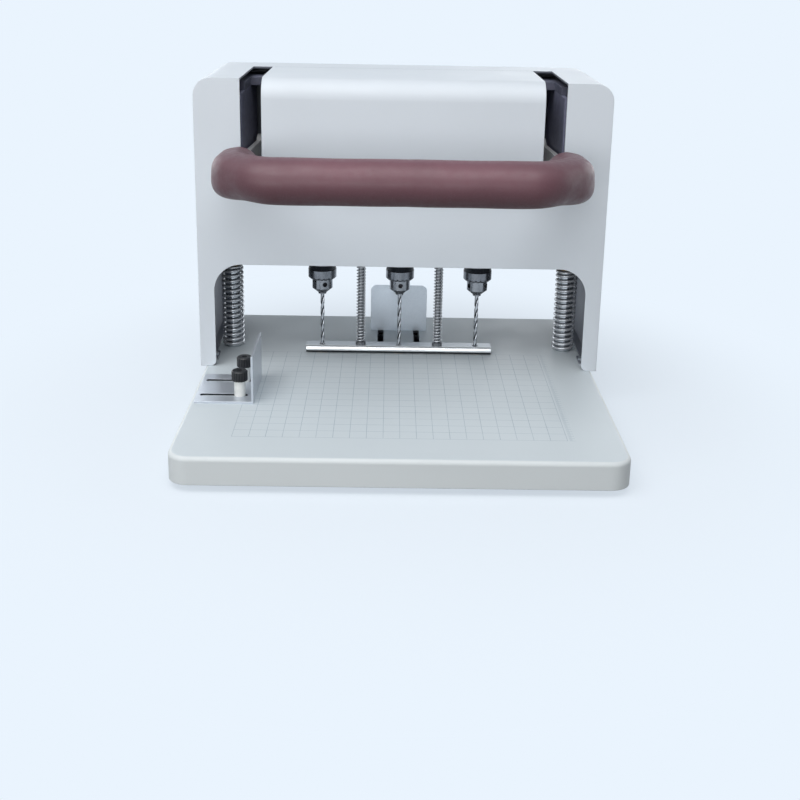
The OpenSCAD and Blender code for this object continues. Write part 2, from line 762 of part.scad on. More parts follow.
rocker_t = 11;
rocker_play = 0.5;
rocker_tilt = 8;
rocker_y = house_d - edge;
module switch_bezel() color(black) place() translate([inlet_x, house_d, switch_z]) difference() {
    union() {
        translate([0, -inlet_depth, 0]) plate_xz(inlet_depth + eps)
            square([switch_w, switch_h], center = true);
        plate_xz(edge) round_rect(switch_w + 2 * edge, switch_h + 2 * edge, edge);
    }
    translate([0, -rocker_t, 0]) plate_xz(rocker_t + 2 * edge)
        square([switch_w - edge, switch_h - edge], center = true);
    translate([0, rocker_y - house_d, 0]) rod_x(edge + 2 * fit_gap, switch_w - edge / 2);
}

// Rocker with two slanted faces, tipped to its off side
module switch_rocker() color(black) place() translate([inlet_x, rocker_y, switch_z])
    rotate([rocker_tilt, 0, 0]) {
        half = (switch_h - edge) / 2 - rocker_play * 2;
        plate_yz(switch_w - edge - 2 * rocker_play) polygon([
            [-rocker_t / 3, -half / 2], [edge, -half], [edge * 2.5, -half], [edge * 1.5, 0],
            [edge * 2.5, half], [edge, half], [-rocker_t / 3, half / 2]]);
        rod_x(edge, switch_w - edge);
    }

// Lever

// Carries children in the arms' tilted frame, with forward along -Y
module at_pivot() translate([0, pivot_y, pivot_z]) rotate([-arm_tilt, 0, 0]) children();

// Outline of one arm about its pivot, drawn in Y and Z
module arm_outline() difference() {
    union() {
        circle(hub_r);
        translate([-arm_end + seam, -arm_h / 2]) square([arm_end - seam, arm_h]);
        translate([-arm_end - tongue_l, -tongue_h / 2]) square([tongue_l + eps, tongue_h]);
        rotate(pin_angle) {
            translate([-pin_far, -pin_slot / 2 - lobe_t]) square([pin_far, pin_slot + 2 * lobe_t]);
            translate([-pin_far, 0]) circle(pin_slot / 2 + lobe_t);
        }
    }
    circle(d = pivot_d + 2 * (bush_t + fit_gap));
    rotate(pin_angle) translate([-(pin_reach + pin_far) / 2, 0])
        slot_outline(pin_far - pin_reach + pin_slot + 2 * pin_play, pin_slot);
}

module lever_arms() color(steel) place() at_pivot() for (s = [-1, 1]) translate([s * arm_x, 0, 0])
    plate_yz(arm_t) arm_outline();

module arm_bushes() color(bronze) place() at_pivot() for (s = [-1, 1])
    translate([s * arm_x, 0, 0]) difference() {
        collar = plate_x - plate_t / 2 - arm_x - arm_t / 2 - play;
        union() {
            rod_x(pivot_d + 2 * bush_t, arm_t);
            translate([s * (arm_t + collar) / 2, 0, 0]) rod_x(pivot_d + 4 * bush_t, collar);
        }
        rod_x(pivot_d + 2 * fit_gap, arm_t * 4);
    }

// Round bar bent to the U of the grip, in the arms' frame, a little thicker in its bends
bend_swell = 0.1;
module bent_bar(d, extra) {
    half = arm_x + tube_out - bend_r - bend_step;
    module bend() rotate_extrude(angle = 45) translate([bend_r, 0]) circle(d = d + bend_swell);
    translate([0, -grip_reach, 0]) rod_x(d, 2 * half);
    both_sides() translate([half, bend_r - grip_reach, 0]) rotate(-90) {
        bend();
        rotate(45) {
            translate([bend_r, 0, 0]) rod_y(d, bend_run);
            translate([0, bend_run, 0]) {
                bend();
                rotate(45) translate([bend_r, 0, 0]) rod_y(d, grip_run + extra);
            }
        }
    }
}

module handle_tube() color(steel) place() at_pivot() difference() {
    bent_bar(tube_d, 0);
    bent_bar(tube_d - 2 * tube_t, eps);
}

module grip_sleeve() color(maroon) place() at_pivot() difference() {
    bent_bar(grip_d, 0);
    bent_bar(tube_d + 2 * fit_gap, eps);
}

// Drill head

module head_plate() color(alloy) place() difference() {
    union() {
        translate([0, 0, head_z]) linear_extrude(head_t) {
            translate([-drill_pitch * 1.5, drill_y - bearing_d / 2 - 2 * edge])
                square([drill_pitch * 3, frame_back - drill_y + bearing_d / 2 + edge]);
            translate([-wing_x, column_back - guide_d / 2 - edge * 2])
                square([2 * wing_x, guide_d + edge * 4]);
        }
        rod_places() translate([0, 0, head_z - boss_drop]) cylinder(d = collar_d + edge, h = boss_drop + eps);
    }
    column_places() translate([0, 0, head_z - eps]) cylinder(d = guide_d + 2 * fit_gap, h = head_t + 2 * eps);
    drill_places() {
        translate([0, 0, head_z - eps]) cylinder(d = bearing_d - 2 * edge * 2, h = head_t);
        translate([0, 0, head_top - bearing_h]) cylinder(d = bearing_d + 2 * fit_gap, h = bearing_h + eps);
    }
    rod_places() translate([0, 0, head_z - boss_drop - eps])
        cylinder(d = rod_d + 2 * fit_gap, h = boss_drop + head_t + 2 * eps);
}

module guide_bushes() color(bronze) place() column_places() difference() {
    union() {
        translate([0, 0, head_z - guide_drop]) cylinder(d = guide_d, h = guide_drop + head_t + guide_rise);
        translate([0, 0, head_z - edge]) cylinder(d = guide_d + 2 * edge, h = edge);
    }
    translate([0, 0, head_z - guide_drop - eps])
        cylinder(d = column_d + 2 * fit_gap, h = guide_drop + head_t + guide_rise + 2 * eps);
}

bracket_x = arm_x - arm_t / 2 - 2 * edge - bracket_t / 2;
bracket_wall = 6;
bracket_r = pin_d / 2 + bracket_wall;

module lift_brackets() color(steel) place() for (s = [-1, 1]) translate([s * bracket_x, column_back, 0])
    plate_yz(bracket_t) difference() {
        union() {
            translate([-bracket_r, head_top]) square([2 * bracket_r, pin_z - head_top]);
            translate([0, pin_z]) circle(bracket_r);
        }
        translate([0, pin_z]) circle(d = pin_d + 2 * fit_gap);
    }

module lift_pins() color(chrome) place() for (s = [-1, 1]) {
    inner = bracket_x - bracket_t / 2;
    outer = arm_x + arm_t / 2 + edge / 2;
    translate([s * (inner + outer) / 2, column_back, pin_z]) rod_x(pin_d, outer - inner);
}

upper_half = bearing_d / 2 + edge * 2.5;
module upper_plate() color(alloy) place() difference() {
    translate([-drill_pitch - upper_half, drill_y - upper_half, upper_z])
        cube([2 * (drill_pitch + upper_half), 2 * upper_half, upper_t]);
    drill_places() translate([0, 0, upper_z - eps])
        cylinder(d = bearing_d + 2 * fit_gap, h = upper_t + 2 * eps);
}

standoff_d = 9;
module plate_standoffs() color(steel) place() for (s = [-1, 1], k = [-1, 1])
    translate([s * drill_pitch * 0.75, drill_y + k * bearing_d / 3, head_top])
        cylinder(d = standoff_d, h = upper_z - head_top);

module spindle_bearings() color(chrome) place() drill_places() for (z = [head_top - bearing_h, upper_z])
    translate([0, 0, z]) tube(bearing_d, spindle_d + 2 * fit_gap, bearing_h);

// Motor and belts

shaft_d = 8;
shaft_z = head_top + motor_h / 2 + edge;
module motor_can() color(black) place() translate([0, motor_y, head_top]) difference() {
    union() {
        cylinder(d = motor_d, h = edge * 3);
        cylinder(d = motor_d - edge * 2, h = motor_h);
    }
    translate([0, 0, motor_h / 2]) cylinder(d = shaft_d + 2 * edge, h = motor_h);
}

cap_vents = 10;
module motor_cap() color(alloy) place() translate([0, motor_y, head_top + motor_h]) difference() {
    rotate_extrude() polygon([[shaft_d / 2 + play, 0], [motor_d / 2, 0], [motor_d / 2, motor_cap_h / 2],
        [motor_d / 2 - motor_cap_h / 2, motor_cap_h], [shaft_d / 2 + play, motor_cap_h]]);
    for (k = [0:cap_vents - 1]) rotate(360 / cap_vents * k) translate([motor_d / 3.2, 0, -eps])
        linear_extrude(motor_cap_h + 2 * eps) slot_outline(motor_d / 6, vent_w);
}

// Flanged belt pulley from z = 0, for one or more tiers
module pulley(r, bore, tiers) {
    lip = (tier_h - belt_w - 2 * play) / 2;
    difference() {
        union() {
            cylinder(r = r, h = tiers * tier_h);
            for (k = [0:tiers - 1], top = [0, 1]) translate([0, 0, k * tier_h + top * (tier_h - lip)])
                cylinder(r = r + belt_t, h = lip);
        }
        translate([0, 0, -eps]) cylinder(d = bore + 2 * fit_gap, h = tiers * tier_h + 2 * eps);
    }
}

module motor_rotor() color(steel) place() translate([0, motor_y, 0]) {
    translate([0, 0, shaft_z]) cylinder(d = shaft_d, h = tier_z + tier_h - shaft_z);
    translate([0, 0, tier_z]) pulley(motor_pulley_r, shaft_d, 1);
}

// Outline round two pulleys, from the origin along +X
module belt_outline(reach, r1, r2) {
    lean = asin((r1 - r2) / reach);
    out = [for (s = [-1, 1]) [sin(lean), s * cos(lean)]];
    circle(r1);
    translate([reach, 0]) circle(r2);
    polygon([r1 * out[0], [reach, 0] + r2 * out[0], [reach, 0] + r2 * out[1], r1 * out[1]]);
}

module belt(reach, r1, r2) linear_extrude(belt_w) difference() {
    belt_outline(reach, r1 + play + belt_t, r2 + play + belt_t);
    belt_outline(reach, r1 + play, r2 + play);
}

belt_z = tier_z + (tier_h - belt_w) / 2;

module motor_belt() color(black) place() translate([0, drill_y, belt_z]) rotate(90)
    belt(motor_reach, pulley_r, motor_pulley_r);

module spindle_belts() color(black) place() for (k = [1, 2])
    translate([0, drill_y, belt_z + k * tier_h]) rotate(k == 1 ? 180 : 0)
        belt(drill_pitch, pulley_r, pulley_r);

// Spindles, chucks and drills

socket_l = 12.6;
socket_z = chuck_top - socket_l;

module spindle(s, first, tiers) color(steel) place() translate([s * drill_pitch, drill_y, 0]) {
    translate([0, 0, socket_z]) cylinder(d = spindle_d, h = spindle_top - socket_z);
    translate([0, 0, tier_z + first * tier_h]) pulley(pulley_r, spindle_d, tiers);
}

module spindle_left() spindle(-1, 1, 1);

module spindle_middle() spindle(0, 0, 3);

module spindle_right() spindle(1, 2, 1);

nose_d = 8.4;
neck_h = 1.2;
key_holes = 3;
key_d = 4.8;
key_turn = [18, 4, 62];
key_z = chuck_z + chuck_body_h / 2;
module chuck_body(s) color(chrome) place() translate([s * drill_pitch, drill_y, 0]) difference() {
    rotate_extrude() polygon([[0, nose_z], [nose_d / 2, nose_z], [nose_d / 2, nose_z + neck_h],
        [chuck_d / 2, chuck_z], [chuck_d / 2, chuck_top], [0, chuck_top]]);
    translate([0, 0, nose_z - eps]) cylinder(d = bit_d + 2 * fit_gap, h = sleeve_z - nose_z + eps);
    translate([0, 0, socket_z]) cylinder(d = spindle_d + 2 * fit_gap, h = sleeve_h);
    for (k = [0:key_holes - 1]) rotate(360 / key_holes * k - 90 + key_turn[s + 1])
        translate([chuck_d / 4 + edge / 2, 0, key_z]) rotate([0, 90, 0]) cylinder(d = key_d, h = chuck_d / 2);
}

module chuck_body_left() chuck_body(-1);

module chuck_body_middle() chuck_body(0);

module chuck_body_right() chuck_body(1);

// Sleeve with key teeth cut across its lower bevel and a sunk band round its top
band_up = 10;
band_h = 5.6;
band_sink = 0.5;
bevel = 1.8;
tooth_gap = 2;
module chuck_sleeve(s) color(chrome) place() translate([s * drill_pitch, drill_y, sleeve_z]) difference() {
    inner = chuck_d / 2 + fit_gap;
    outer = sleeve_d / 2;
    rotate_extrude() polygon([[inner, 0], [outer - bevel, 0], [outer, bevel], [outer, band_up],
        [outer - band_sink, band_up + band_sink], [outer - band_sink, band_up + band_h - band_sink],
        [outer, band_up + band_h], [outer, sleeve_h - edge / 2], [outer - edge / 2, sleeve_h],
        [inner, sleeve_h]]);
    for (k = [0:key_teeth - 1]) rotate(360 / key_teeth * k)
        translate([outer - bevel / 2, 0, bevel / 2]) rotate([0, 45, 0])
            cylinder(d = tooth_gap, h = 2 * bevel, center = true, $fn = 16);
}

module chuck_sleeve_left() chuck_sleeve(-1);

module chuck_sleeve_middle() chuck_sleeve(0);

module chuck_sleeve_right() chuck_sleeve(1);

// Radius round a twist drill: two lands at full size, two flutes cut in
web = 0.42;
land = 0.75;
function drill_r(a) = bit_d / 2 * min(1, web + land * pow(cos(a), 2));

// Rings of a drill: its point, its flutes, and its plain shank
bit_sides = 16;
bit_steps = 36;
bit_point = bit_d * 0.3;
bit_blunt = 0.05;
shank_z = nose_z - bit_d;
function drill_ring(z, size, fluted) = [for (k = [0:bit_sides - 1])
    let (a = 360 / bit_sides * k)
    let (r = size * (fluted ? drill_r(a) : bit_d / 2))
    [r * cos(a + 360 * z / bit_lead), r * sin(a + 360 * z / bit_lead), z]];

module drill_bit(s) color(steel) place() translate([s * drill_pitch, drill_y, 0]) {
    flutes = [for (i = [0:bit_steps]) tip_gap + bit_point + (shank_z - tip_gap - bit_point) * i / bit_steps];
    points = concat(drill_ring(tip_gap, bit_blunt, true), [for (z = flutes) each drill_ring(z, 1, true)],
        drill_ring(shank_z + bit_d / 2, 1, false), drill_ring(sleeve_z - edge, 1, false));
    polyhedron(points, tube_faces(bit_steps + 4, bit_sides), convexity = 6);
}

module drill_bit_left() drill_bit(-1);

module drill_bit_middle() drill_bit(0);

module drill_bit_right() drill_bit(1);

// Press bar

// Bar with a round nose along its front
module press_bar() color(chrome) place() difference() {
    translate([0, drill_y + (bar_h - bar_d) / 2, bar_gap + bar_h / 2]) plate_yz(2 * (drill_pitch + bar_end)) {
        circle(d = bar_h);
        translate([0, -bar_h / 2]) square([bar_d - bar_h / 2, bar_h]);
    }
    drill_places() cylinder(d = bit_d + edge, h = bar_top + eps);
    rod_places() cylinder(d = rod_d + 2 * fit_gap, h = bar_top + eps);
}

module press_rods() color(chrome) place() rod_places() {
    translate([0, 0, bar_gap]) cylinder(d = rod_d, h = head_top + rod_over - bar_gap);
    translate([0, 0, bar_top]) cylinder(d = collar_d, h = collar_h);
}

module rod_nuts() color(steel) place() rod_places() translate([0, 0, head_top + play]) nut(rod_d, nut_h);

press_spring_z = bar_top + collar_h + play;
press_spring_l = head_z - boss_drop - play - press_spring_z;
press_spring_d = rod_d + 2 * press_spring_gap + press_wire;
module press_spring(s) color(chrome) place() translate([s * drill_pitch / 2, drill_y, press_spring_z])
    spring(press_spring_d, press_wire, press_spring_l, press_curls, "press spring");

module press_spring_left() press_spring(-1);

module press_spring_right() press_spring(1);

// Side guide and rear stop

module side_guide() color(steel) place() translate([side_x, -side_ahead - side_l / 2, 0]) {
    difference() {
        translate([-side_foot, 0, 0]) cube([side_foot, side_l, guide_t]);
        for (s = [-1, 1]) translate([-side_foot / 2 - guide_t, side_l / 2 + s * side_knobs / 2, -eps])
            linear_extrude(guide_t + 2 * eps) slot_outline(side_slot, slot_d);
    }
    translate([-guide_t, 0, 0]) cube([guide_t, side_l, side_h]);
}

module guide_spacers() color(white) place() side_knob_places() translate([0, 0, guide_t])
    tube(spacer_d, stud_d + 2 * play, spacer_h);

// Thumb knob on its stud, with the underside of its head at the given height
module knob(z) {
    r = knob_d / 2;
    top = z + knob_h;
    difference() {
        rotate_extrude() polygon([[0, z], [r, z], [r, top - edge / 2], [r - edge / 2, top], [0, top]]);
        for (k = [0:knob_flutes - 1]) rotate(360 / knob_flutes * k)
            translate([r + edge / 4, 0, z - eps]) cylinder(d = edge, h = knob_h + 2 * eps);
        translate([0, 0, top - edge / 2]) cylinder(d = stud_d, h = edge);
    }
    translate([0, 0, -boss_h]) cylinder(d = stud_d, h = z + boss_h + eps);
}

module guide_knob(s) color(black) place() side_knob_place(s) knob(guide_t + spacer_h + play);

module guide_knob_front() guide_knob(-1);

module guide_knob_back() guide_knob(1);

module rear_stop() color(steel) place() translate([0, stop_back, 0]) {
    plate_xz(guide_t) arch(stop_w, stop_h, edge * 3);
    difference() {
        translate([-stop_w / 2, guide_t - eps, 0]) cube([stop_w, stop_foot + eps, guide_t]);
        for (s = [-1, 1]) translate([s * stop_knobs / 2, guide_t + stop_foot / 2, -eps])
            cylinder(d = stud_d + 2 * play, h = guide_t + 2 * eps);
    }
}

clamp_d = 12;
module stop_clamp() color(steel) place() difference() {
    translate([0, stop_bolt_y, -base_t - play - edge * 2])
        linear_extrude(edge * 2) round_rect(stop_w, clamp_d, edge);
    for (s = [-1, 1]) stop_knob_place(s) translate([0, 0, -base_h])
        cylinder(d = stud_d + 2 * fit_gap, h = base_h);
}

module stop_knob(s) color(black) place() stop_knob_place(s) knob(guide_t + play);

module stop_knob_left() stop_knob(-1);

module stop_knob_right() stop_knob(1);

base_shell();
base_bottom();
rubber_feet();
case_screws();
column_beam();
cutting_discs();
guide_columns();
column_spring_left();
column_spring_right();
main_housing();
rear_panel();
center_cover();
top_plate();
side_plates();
frame_bolts();
pivot_pins();
power_inlet();
switch_bezel();
switch_rocker();
guide_spacers();
lever_arms();
handle_tube();
grip_sleeve();
arm_bushes();
head_plate();
guide_bushes();
lift_brackets();
lift_pins();
upper_plate();
plate_standoffs();
spindle_bearings();
motor_can();
motor_cap();
motor_rotor();
motor_belt();
spindle_belts();
spindle_left();
spindle_middle();
spindle_right();
chuck_body_left();
chuck_body_middle();
chuck_body_right();
chuck_sleeve_left();
chuck_sleeve_middle();
chuck_sleeve_right();
drill_bit_left();
drill_bit_middle();
drill_bit_right();
press_bar();
press_rods();
rod_nuts();
press_spring_left();
press_spring_right();
side_guide();
guide_knob_front();
guide_knob_back();
rear_stop();
stop_clamp();
stop_knob_left();
stop_knob_right();
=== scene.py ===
"""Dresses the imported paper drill: finishes for all nodes, a padded grip, wound springs, fluted drills."""

import json
import math

import bpy
import numpy as np
from mathutils import Matrix, Vector


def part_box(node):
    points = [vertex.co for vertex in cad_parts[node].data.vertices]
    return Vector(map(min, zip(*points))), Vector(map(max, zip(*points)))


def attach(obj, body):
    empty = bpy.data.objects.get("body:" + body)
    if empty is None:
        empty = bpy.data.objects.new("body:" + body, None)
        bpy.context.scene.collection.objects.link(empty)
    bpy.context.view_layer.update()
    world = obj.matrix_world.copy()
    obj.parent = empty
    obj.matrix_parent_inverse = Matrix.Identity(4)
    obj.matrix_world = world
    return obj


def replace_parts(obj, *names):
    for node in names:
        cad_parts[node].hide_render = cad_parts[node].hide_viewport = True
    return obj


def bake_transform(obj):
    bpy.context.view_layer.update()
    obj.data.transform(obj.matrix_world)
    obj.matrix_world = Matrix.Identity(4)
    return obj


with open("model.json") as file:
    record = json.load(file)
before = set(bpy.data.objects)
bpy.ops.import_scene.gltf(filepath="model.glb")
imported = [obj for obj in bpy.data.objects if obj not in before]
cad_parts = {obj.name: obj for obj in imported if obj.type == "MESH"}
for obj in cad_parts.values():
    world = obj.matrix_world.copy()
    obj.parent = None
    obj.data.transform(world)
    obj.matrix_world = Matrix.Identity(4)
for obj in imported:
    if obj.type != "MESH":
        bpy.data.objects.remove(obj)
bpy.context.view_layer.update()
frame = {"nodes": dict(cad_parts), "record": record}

MM = 0.001
X, Y, Z = range(3)
DRILLS = ("left", "middle", "right")
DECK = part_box("base_shell")[1].z
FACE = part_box("main_housing")[0].y


def srgb(r, g, b):
    """Linear colour of an 8-bit one."""
    return tuple((c / 255 / 12.92) if c <= 10 else ((c / 255 + 0.055) / 1.055) ** 2.4 for c in (r, g, b))


def shade(color, share):
    """The same colour, darker or lighter."""
    return tuple(min(1.0, c * share) for c in color)


# Node trees

# Sockets of a Mix node that mixes colours
MIX_FACTOR, MIX_A, MIX_B, MIX_RESULT = 0, 6, 7, 2


class Nodes:
    """Adds nodes to a tree and links them."""

    def __init__(self, tree):
        self.tree = tree

    def add(self, kind, **settings):
        node = self.tree.nodes.new(kind)
        for key, value in settings.items():
            setattr(node, key, value)
        return node

    def feed(self, socket, value):
        """Links an output to a socket, or sets a plain value on it."""
        if isinstance(value, bpy.types.NodeSocket):
            self.tree.links.new(value, socket)
        else:
            socket.default_value = value

    def math(self, operation, a, b=0.0):
        node = self.add("ShaderNodeMath", operation=operation)
        self.feed(node.inputs[0], a)
        self.feed(node.inputs[1], b)
        return node.outputs[0]

    def vector_math(self, operation, a, b):
        node = self.add("ShaderNodeVectorMath", operation=operation)
        self.feed(node.inputs[0], a)
        self.feed(node.inputs[1], b)
        return node.outputs

    def product(self, first, *others):
        for other in others:
            first = self.math("MULTIPLY", first, other)
        return first

    def spread(self, value, low, high, start=0.3, stop=0.7, curve="LINEAR"):
        """Turns the range from start to stop into the range from low to high, held at its ends."""
        node = self.add("ShaderNodeMapRange", interpolation_type=curve)
        sockets = ("Value", "From Min", "From Max", "To Min", "To Max")
        for socket, setting in zip(sockets, (value, start, stop, low, high)):
            self.feed(node.inputs[socket], setting)
        return node.outputs[0]

    def mix(self, factor, a, b):
        node = self.add("ShaderNodeMix", data_type="RGBA")
        self.feed(node.inputs[MIX_FACTOR], factor)
        for index, color in ((MIX_A, a), (MIX_B, b)):
            self.feed(node.inputs[index], color if isinstance(color, bpy.types.NodeSocket) else (*color, 1))
        return node.outputs[MIX_RESULT]

    def seen_directly(self):
        """1 for rays from the camera, or through a mirror or glass."""
        path = self.add("ShaderNodeLightPath").outputs
        bounced = self.math("MAXIMUM", path["Is Glossy Ray"], path["Is Transmission Ray"])
        return self.math("MAXIMUM", path["Is Camera Ray"], bounced)


class Finish(Nodes):
    """A principled material whose detail comes from nodes in the part's own frame."""

    def __init__(self, name, color, rough, metal=0.0, extra=None):
        self.material = bpy.data.materials.new(name)
        self.material.use_nodes = True
        super().__init__(self.material.node_tree)
        self.shader = self.tree.nodes["Principled BSDF"]
        self.color = color
        self.normal = None
        settings = {"Base Color": (*color, 1), "Roughness": rough, "Metallic": metal, **(extra or {})}
        for key, value in settings.items():
            self.shader.inputs[key].default_value = value
        surface = self.add("ShaderNodeTexCoord").outputs
        self.point = surface["Object"]
        self.outward = surface["Normal"]

    def axes(self, vector=None):
        """X, Y and Z of a vector, or of the surface point in metres."""
        node = self.add("ShaderNodeSeparateXYZ")
        self.feed(node.inputs[0], self.point if vector is None else vector)
        return node.outputs[:3]

    def distance(self, a, b):
        return self.math("SQRT", self.math("ADD", self.product(a, a), self.product(b, b)))

    def within(self, value, low, high):
        """1 where a value lies between two limits."""
        return self.product(self.math("GREATER_THAN", value, low), self.math("LESS_THAN", value, high))

    def noise(self, scale, detail=2.0, stretch=(1, 1, 1)):
        mapping = self.add("ShaderNodeMapping")
        mapping.inputs["Scale"].default_value = stretch
        self.feed(mapping.inputs["Vector"], self.point)
        node = self.add("ShaderNodeTexNoise")
        self.feed(node.inputs["Vector"], mapping.outputs[0])
        self.feed(node.inputs["Scale"], scale)
        self.feed(node.inputs["Detail"], detail)
        return node.outputs[0]

    def cells(self, scale):
        node = self.add("ShaderNodeTexVoronoi", feature="SMOOTH_F1")
        self.feed(node.inputs["Vector"], self.point)
        self.feed(node.inputs["Scale"], scale)
        return node.outputs["Distance"]

    def tint(self, factor, other, under=None):
        """Paints another colour over the base, by a factor."""
        color = self.mix(factor, self.color if under is None else under, other)
        self.feed(self.shader.inputs["Base Color"], color)
        return color

    def polish(self, value):
        self.feed(self.shader.inputs["Roughness"], value)

    def soften(self, radius):
        """Rounds sharp edges in the shading, as a pressed or painted edge is."""
        node = self.add("ShaderNodeBevel", samples=4)
        self.feed(node.inputs["Radius"], radius)
        self.bend_light(node)
        return self.normal

    def relief(self, height, depth, strength):
        """Adds bumps of a given depth, in metres."""
        node = self.add("ShaderNodeBump")
        self.feed(node.inputs["Height"], height)
        self.feed(node.inputs["Distance"], depth)
        self.feed(node.inputs["Strength"], strength)
        if self.normal is not None:
            self.feed(node.inputs["Normal"], self.normal)
        self.bend_light(node)

    def bend_light(self, node):
        """Gives the shader a node's normal."""
        self.normal = node.outputs[0]
        self.feed(self.shader.inputs["Normal"], self.normal)


# Painted sheet

PRINT_DEPTH = 0.2 * MM
GRID_STEP = 14.53 * MM
GRID_X = 10 * GRID_STEP
GRID_FRONT = FACE - 173 * MM
GRID_LENGTH = 15 * GRID_STEP
GRID_MARGIN = 0.2 * MM
GRID_HALF_LINE = 0.22 * MM
RULER_GAP = 2 * MM
# Step, half width and reach of the ruler's short and long ticks
RULER_TICKS = ((1 * MM, 0.13 * MM, 4.5 * MM), (5 * MM, 0.2 * MM, 7 * MM))
PRINTED_SHEET, PRINTED_LINES = srgb(200, 209, 214), srgb(120, 145, 160)
# Darker colour of the housing's inner faces: painted shade
INSIDE_SHADE = srgb(96, 101, 112)


def inside_shade_mask(f):
    """1 on faces that look towards the housing's middle: inner sheet faces, which get painted shade."""
    low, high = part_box("main_housing")
    from_middle = f.vector_math("SUBTRACT", f.point, (low + high) / 2)["Vector"]
    return f.math("LESS_THAN", f.vector_math("DOT_PRODUCT", from_middle, f.outward)["Value"], 0.0)


def on_deck(f):
    """1 on the deck's top, which is covered by a printed sheet."""
    return f.math("GREATER_THAN", f.axes()[Z], DECK - PRINT_DEPTH)


def grid_mask(f):
    """Printed squares on the deck, with a ruler beside them."""
    x, y = f.axes()[:2]
    from_front = f.math("SUBTRACT", y, GRID_FRONT)
    across = f.within(x, -GRID_X - GRID_MARGIN, GRID_X + GRID_MARGIN)
    along = f.within(from_front, -GRID_MARGIN, GRID_LENGTH + GRID_MARGIN)

    def lines(value, step, half):
        return f.math("LESS_THAN", f.math("PINGPONG", value, step / 2), half)

    bars = f.math("MAXIMUM", *(lines(value, GRID_STEP, GRID_HALF_LINE) for value in (x, from_front)))
    marks = f.product(across, bars)
    for step, half, reach in RULER_TICKS:
        beside = f.within(x, GRID_X + RULER_GAP, GRID_X + reach)
        marks = f.math("MAXIMUM", marks, f.product(lines(from_front, step, half), beside))
    patchy = f.spread(f.noise(scale=40.0), low=0.45, high=0.75)
    return f.product(on_deck(f), along, marks, patchy)


def powder_coat(name, color, printed=False):
    """Satin powder coat with a fine orange peel, paler where it thins over an edge."""
    f = Finish(name, color, rough=0.52, extra={"Coat Weight": 0.05, "Coat Roughness": 0.4})
    rounded = f.soften(0.9 * MM)
    drift = f.spread(f.noise(scale=7.0, detail=3.0), low=0.0, high=1.0)
    under = f.tint(drift, shade(color, 0.965))
    flat = f.add("ShaderNodeNewGeometry").outputs["Normal"]
    level = f.vector_math("DOT_PRODUCT", rounded, flat)["Value"]
    edge = f.spread(level, low=0.5, high=0.0, start=0.8, stop=0.995)
    under = f.tint(f.product(edge, f.noise(scale=60.0, detail=3.0)), shade(color, 1.1), under)
    if printed:
        under = f.tint(on_deck(f), PRINTED_SHEET, under)
        f.tint(grid_mask(f), PRINTED_LINES, under)
    else:
        # Inner faces of the housing darkened: painted shade
        f.tint(inside_shade_mask(f), INSIDE_SHADE, under)
    f.polish(f.spread(f.noise(scale=25.0, detail=4.0), low=0.46, high=0.6))
    f.relief(f.noise(scale=900.0, detail=1.0), depth=0.05 * MM, strength=0.25)
    return f.material


# Steel, plastic and leatherette

def streaks(axis, stretch=0.03):
    """Scale that draws a pattern out along one axis."""
    scale = [1, 1, 1]
    scale[axis] = stretch
    return tuple(scale)


def plated(name, color, rough, streak=(1, 1, 1), edge=0.3 * MM, metal=1.0, rim=1.0):
    """Plated or polished steel, with drawn streaks and a cloudy polish; a low rim dims the reflections
    along its outline, as painted shade.
    """
    f = Finish(name, color, rough, metal, {"Specular Tint": (rim, rim, rim, 1)})
    f.soften(edge)
    cloud = f.noise(scale=30.0, detail=4.0)
    f.tint(f.spread(cloud, low=0.0, high=0.5), shade(color, 0.8))
    drawn = f.noise(scale=700.0, detail=3.0, stretch=streak)
    fine = f.spread(drawn, low=rough * 0.7, high=rough * 1.3)
    f.polish(f.math("ADD", fine, f.spread(cloud, low=0.0, high=rough * 0.3)))
    f.relief(drawn, depth=0.015 * MM, strength=0.35)
    return f.material


def moulded(name, color, rough, grain=1600.0, depth=0.04 * MM):
    """Moulded plastic or rubber with a fine spark grain."""
    f = Finish(name, color, rough)
    f.soften(0.4 * MM)
    dusty = tuple(c + 0.002 for c in shade(color, 1.25))
    f.tint(f.spread(f.noise(scale=90.0, detail=3.0), low=0.0, high=1.0), dusty)
    f.polish(f.spread(f.noise(scale=220.0), low=rough * 0.85, high=rough * 1.15))
    f.relief(f.noise(grain), depth, strength=0.5)
    return f.material


def bar_finish(name, color):
    """Bright bar: a polished round nose before a brushed top, with a dull lower third darkened as painted
    shade.
    """
    f = Finish(name, color, rough=0.07, metal=0.55)
    f.soften(0.3 * MM)
    y, z = f.axes()[Y:]
    low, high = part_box("press_bar")
    height = high.z - low.z
    behind_nose = f.math("GREATER_THAN", y, low.y + height / 2)
    on_top = f.product(f.math("GREATER_THAN", z, high.z - 0.4 * MM), behind_nose)
    # Dark lower third of the bar: painted shade under the nose
    rubber = f.math("LESS_THAN", z, low.z + 0.34 * height)
    under = f.tint(on_top, srgb(176, 181, 186))
    f.tint(rubber, srgb(24, 31, 40), under)
    drawn = f.noise(scale=700.0, detail=3.0, stretch=streaks(X, 0.02))
    dull = f.spread(f.math("MAXIMUM", on_top, rubber), low=0.05, high=0.38, start=0.0, stop=1.0)
    f.polish(f.math("ADD", dull, f.spread(drawn, low=0.0, high=0.06)))
    f.relief(drawn, depth=0.015 * MM, strength=0.35)
    return f.material


